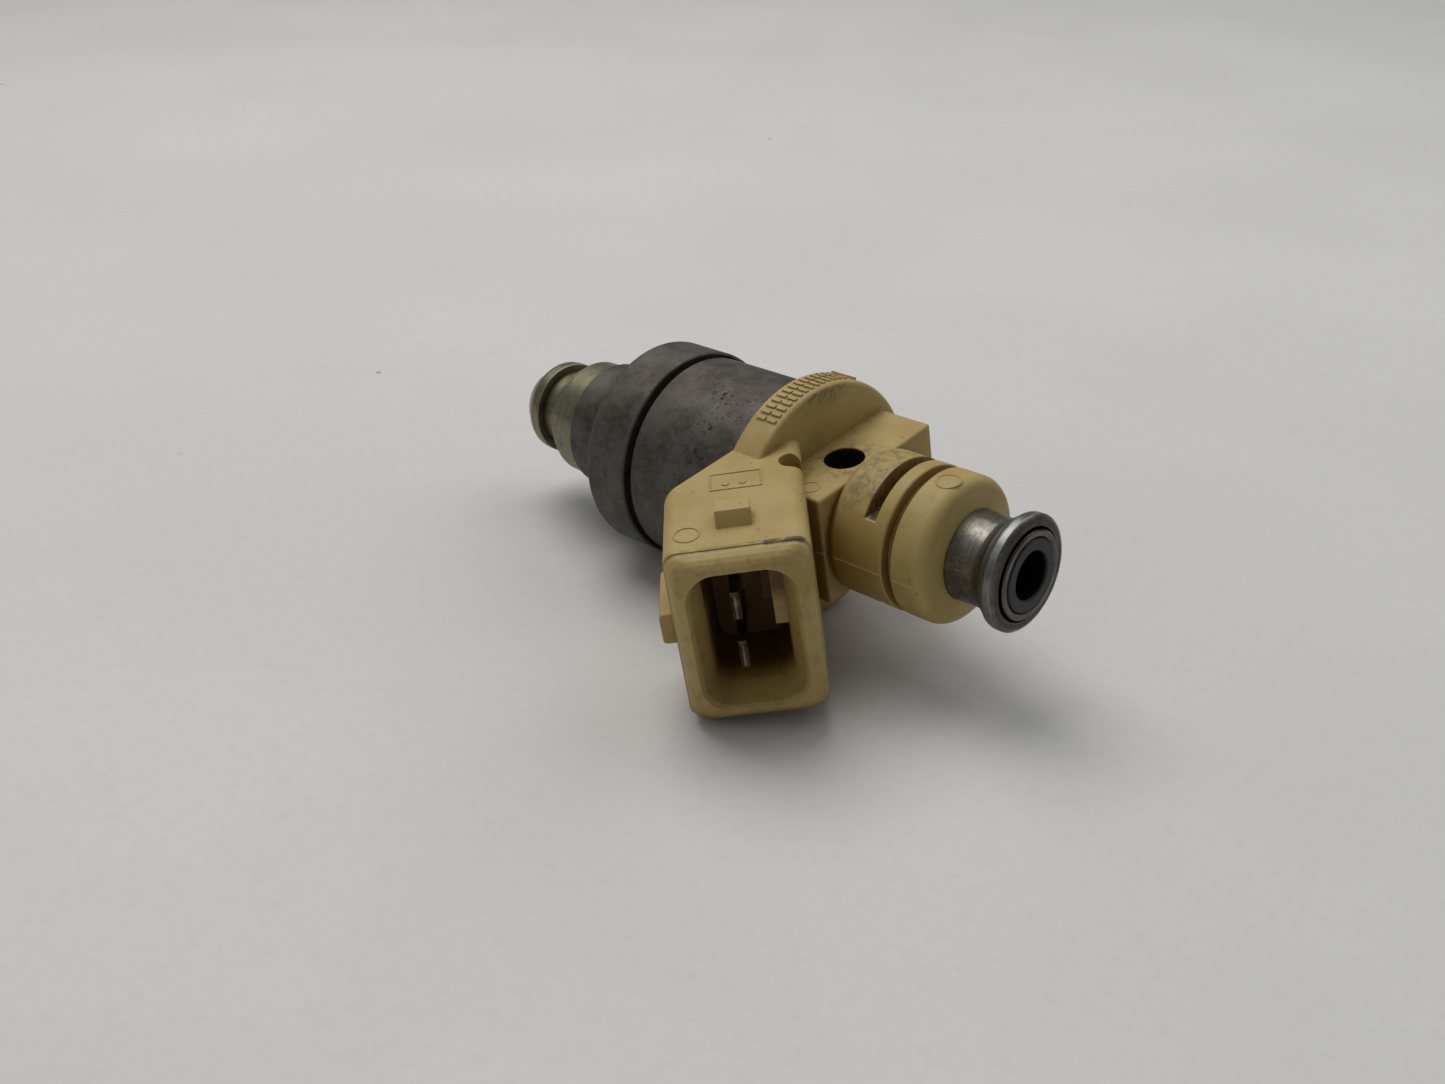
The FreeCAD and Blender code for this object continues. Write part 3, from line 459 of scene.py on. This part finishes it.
def turned_metal(name, light, dark, rough_low, rough_high):
    """A clean turned or ground metal with fine rings and faint stains."""
    g = Graph(name)
    p = g.drawn()
    rings = lathe_marks(g, p, 10.0)
    stain = g.noise(p, 1.1, 5, 0.65, 3.0)
    tint = g.mix(g.ramp(rings, 0.38, 0.64), light, dark)
    tint = g.mix(g.ramp(stain, 0.52, 0.76, 0.0, 0.45), tint, dark)
    # Painted shade: near black in hollows within 0.8 mm.
    tint = g.mix(g.ramp(g.hollow(0.8), 0.3, 0.95, 0.0, 0.7), tint, rgb(22, 20, 18))
    rough = g.ramp(stain, 0.3, 0.7, rough_low, rough_high)
    return g.done(tint, rough, g.bump(rings, 0.14, 0.02, g.soft_edges(0.08)), Metallic=1.0)


def tinned_brass():
    """Tin-plated blades with long rub marks and brown tarnish, their tones darkened further as painted shade
    for the socket they sit in.
    """
    g = Graph("tinned_brass")
    p = g.drawn()
    along = g.noise(g.stretched(p, 1.0, 1.0, 9.0), 1.4, 4, 0.65, 2.0)
    cloud = g.noise(p, 1.0, 5, 0.6, 9.1)
    # The dark tones are brown tarnish, deepened as painted shade for the socket.
    tint = g.mix(g.ramp(cloud, 0.38, 0.64), rgb(126, 117, 98), rgb(92, 81, 60))
    tint = g.mix(g.ramp(along, 0.45, 0.66, 0.0, 0.5), tint, rgb(84, 72, 54))
    rough = g.ramp(along, 0.3, 0.7, 0.28, 0.46)
    return g.done(tint, rough, g.bump(along, 0.15, 0.02, g.soft_edges(0.06)), Metallic=0.95)


def dark_plastic(name, light, dark, rough, bore_shade=False):
    """Glass-filled black or grey plastic with grain. In the inlet's bore it goes black with depth, as
    painted shade.
    """
    g = Graph(name)
    p = g.drawn()
    grain = g.noise(p, 7.0, 4, 0.7, 4.0)
    tint = g.mix(g.ramp(grain, 0.35, 0.7), dark, light)
    tint = g.mix(g.ramp(g.noise(p, 0.9, 4, 0.6, 1.0), 0.5, 0.8, 0.0, 0.3), tint, light)
    if bore_shade:
        # Painted shade: near black deeper down the bore.
        tint = g.mix(g.ramp(g.split(p)[0], BORE_EDGE_X, BORE_EDGE_X - 0.24), tint, rgb(2, 2, 2))
    rough = g.ramp(grain, 0.3, 0.7, rough, rough + 0.12)
    return g.done(tint, rough, g.bump(grain, 0.18, 0.03, g.soft_edges(0.08)), Specular_IOR_Level=0.32)


def filter_screen():
    """Woven filter gauze: dark square holes between pale threads."""
    g = Graph("filter_screen")
    p = g.drawn()
    x, y, z = g.split(p)
    angle = g.math("MULTIPLY", g.math("ARCTAN2", z, y), 2.0)
    weft = g.math("ABSOLUTE", g.math("SINE", g.math("MULTIPLY", x, 26.0)))
    warp = g.math("ABSOLUTE", g.math("SINE", g.math("MULTIPLY", angle, 26.0)))
    thread = g.math("MAXIMUM", weft, warp)
    tint = g.mix(g.ramp(thread, 0.55, 0.80), rgb(20, 20, 20), rgb(150, 150, 146))
    return g.done(tint, g.ramp(thread, 0.5, 0.9, 0.7, 0.45), g.bump(thread, 0.5, 0.03), Metallic=0.3)


def copper_wire():
    """Enamelled winding wire: close turns round the axis."""
    g = Graph("copper_wire")
    p = g.drawn()
    turns = g.math("ABSOLUTE", g.math("SINE", g.math("MULTIPLY", g.split(p)[0], 9.0)))
    cloud = g.noise(p, 1.2, 4, 0.6, 2.0)
    tint = g.mix(g.ramp(cloud, 0.35, 0.65), rgb(170, 84, 44), rgb(140, 60, 30))
    # Painted shade: dark lines in the creases between the turns.
    tint = g.mix(g.ramp(turns, 0.4, 0.05), tint, rgb(40, 16, 8))
    return g.done(tint, g.ramp(cloud, 0.3, 0.7, 0.22, 0.36), g.bump(turns, 0.5, 0.08), Metallic=0.8)


def seal_rubber():
    """Black seal rubber with a slight bloom."""
    g = Graph("seal_rubber")
    p = g.drawn()
    bloom = g.noise(p, 1.5, 5, 0.6, 2.0)
    tint = g.mix(g.ramp(bloom, 0.4, 0.7), rgb(22, 22, 23), rgb(42, 41, 40))
    normal = g.bump(g.noise(p, 8.0, 3, 0.6, 5.0), 0.15, 0.02)
    return g.done(tint, g.ramp(bloom, 0.3, 0.7, 0.42, 0.6), normal)


def floor_material():
    """Pale matt board with fine grain and a few dark specks."""
    g = Graph("floor")
    place = g.node("ShaderNodeTexCoord").outputs["Object"]
    p = g.stretched(place, 1 / MM, 1 / MM, 1 / MM)
    grain = g.noise(p, 0.9, 6, 0.65, 1.0)
    tint = g.mix(g.ramp(g.noise(p, 0.02, 3, 0.5, 3.0), 0.3, 0.7), rgb(213, 212, 209), rgb(208, 207, 204))
    tint = g.mix(g.ramp(grain, 0.45, 0.75, 0.0, 0.4), tint, rgb(198, 197, 194))
    tint = g.paint(tint, rgb(96, 94, 90), 0.6, g.ramp(g.cells(p, 0.085, 4.0), 0.050, 0.030))
    return g.done(tint, 0.62, g.bump(grain, 0.10, 0.05), Specular_IOR_Level=0.3)


MATERIALS = {
    "moulded_plastic": moulded_plastic(),
    "filter_plastic": dark_plastic("filter_plastic", rgb(40, 42, 44), rgb(28, 30, 32), 0.42, bore_shade=True),
    "filter_screen": filter_screen(),
    "worn_steel": worn_steel(),
    "bright_steel": turned_metal("bright_steel", rgb(104, 100, 94), rgb(74, 69, 62), 0.20, 0.32),
    "can_steel": can_steel(),
    "zinc_plate": zinc_plate(),
    "magnet_iron": turned_metal("magnet_iron", rgb(150, 150, 150), rgb(104, 102, 100), 0.28, 0.42),
    "copper": copper_wire(),
    "bobbin_plastic": dark_plastic("bobbin_plastic", rgb(44, 44, 46), rgb(26, 26, 28), 0.45),
    "tinned_brass": tinned_brass(),
    "sleeve_steel": turned_metal("sleeve_steel", rgb(196, 196, 194), rgb(150, 150, 150), 0.20, 0.32),
    "spring_steel": turned_metal("spring_steel", rgb(170, 170, 174), rgb(110, 110, 116), 0.25, 0.35),
    "hardened_steel": turned_metal("hardened_steel", rgb(178, 178, 180), rgb(132, 130, 130), 0.18, 0.30),
    "seal_rubber": seal_rubber(),
}


# ---------------------------------------------------------------- the injector's pieces

def dress_nodes():
    """Gives every carried CAD node the finish of its own slot."""
    for entry in frame["record"]["subparts"]:
        piece = frame["nodes"][entry["node"]]
        piece.data.materials.clear()
        piece.data.materials.append(MATERIALS[entry["material_slot"]])


def make_spring():
    """The return spring as its own copy of the CAD coil, shown in place of the CAD node, which is hidden."""
    node = frame["nodes"]["return_spring"]
    coil = bpy.data.objects.new("return_spring_coil", node.data.copy())
    bpy.context.scene.collection.objects.link(coil)
    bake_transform(coil)
    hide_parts("return_spring")


# ---------------------------------------------------------------- stage, lights and camera

def make_floor():
    """A large pale sheet under the injector."""
    corners = [(-FLOOR_HALF, -FLOOR_HALF, FLOOR_Z), (FLOOR_HALF, -FLOOR_HALF, FLOOR_Z),
               (FLOOR_HALF, FLOOR_HALF, FLOOR_Z), (-FLOOR_HALF, FLOOR_HALF, FLOOR_Z)]
    mesh = bpy.data.meshes.new("floor")
    mesh.from_pydata(corners, [], [(0, 1, 2, 3)])
    floor = bpy.data.objects.new("floor", mesh)
    floor.data.materials.append(floor_material())
    bpy.context.scene.collection.objects.link(floor)


def add_facing(name, data, azimuth, elevation, distance, roll=0.0):
    """Adds a light or camera that looks at CAM_TARGET. Angles are in degrees, with azimuth 0 at -Y."""
    made = bpy.data.objects.new(name, data)
    a = math.radians(azimuth)
    e = math.radians(elevation)
    back = Vector((math.sin(a) * math.cos(e), -math.cos(a) * math.cos(e), math.sin(e)))
    made.location = CAM_TARGET + back * distance
    made.rotation_mode = "QUATERNION"
    turn = (-back).to_track_quat("-Z", "Y")
    made.rotation_quaternion = turn @ Euler((0, 0, math.radians(roll))).to_quaternion()
    bpy.context.scene.collection.objects.link(made)
    return made


def area_light(name, azimuth, elevation, distance, size, power, colour):
    """A soft square light."""
    light = bpy.data.lights.new(name, "AREA")
    light.shape = "RECTANGLE"
    light.size = size
    light.size_y = size
    light.energy = power
    light.color = colour
    add_facing(name, light, azimuth, elevation, distance)


def make_lights():
    """A window high at the nozzle's end, a weaker light behind, a faint one in front, and a grey room."""
    area_light("window", 258, 64, 0.60, 0.42, 2.15, (1.0, 0.985, 0.96))
    area_light("door", 165, 48, 0.70, 0.50, 1.1, (0.97, 0.99, 1.0))
    area_light("front", 350, 42, 0.70, 0.50, 0.35, (0.97, 0.99, 1.0))
    world = bpy.data.worlds.new("room")
    world.use_nodes = True
    room = world.node_tree.nodes["Background"]
    room.inputs["Color"].default_value = (0.80, 0.82, 0.84, 1)
    room.inputs["Strength"].default_value = 0.23
    bpy.context.scene.world = world
    bpy.context.scene.view_settings.view_transform = "Standard"


def make_camera():
    """The camera, looking down at the injector from between its socket and its inlet."""
    data = bpy.data.cameras.new("camera")
    data.sensor_width = 36.0
    data.lens = CAM_LENS
    data.clip_start = 0.005
    data.clip_end = 20.0
    camera = add_facing("camera", data, CAM_AZIMUTH, CAM_ELEVATION, CAM_DISTANCE, CAM_ROLL)
    bpy.context.scene.camera = camera


dress_nodes()
make_spring()
make_floor()
make_lights()
make_camera()
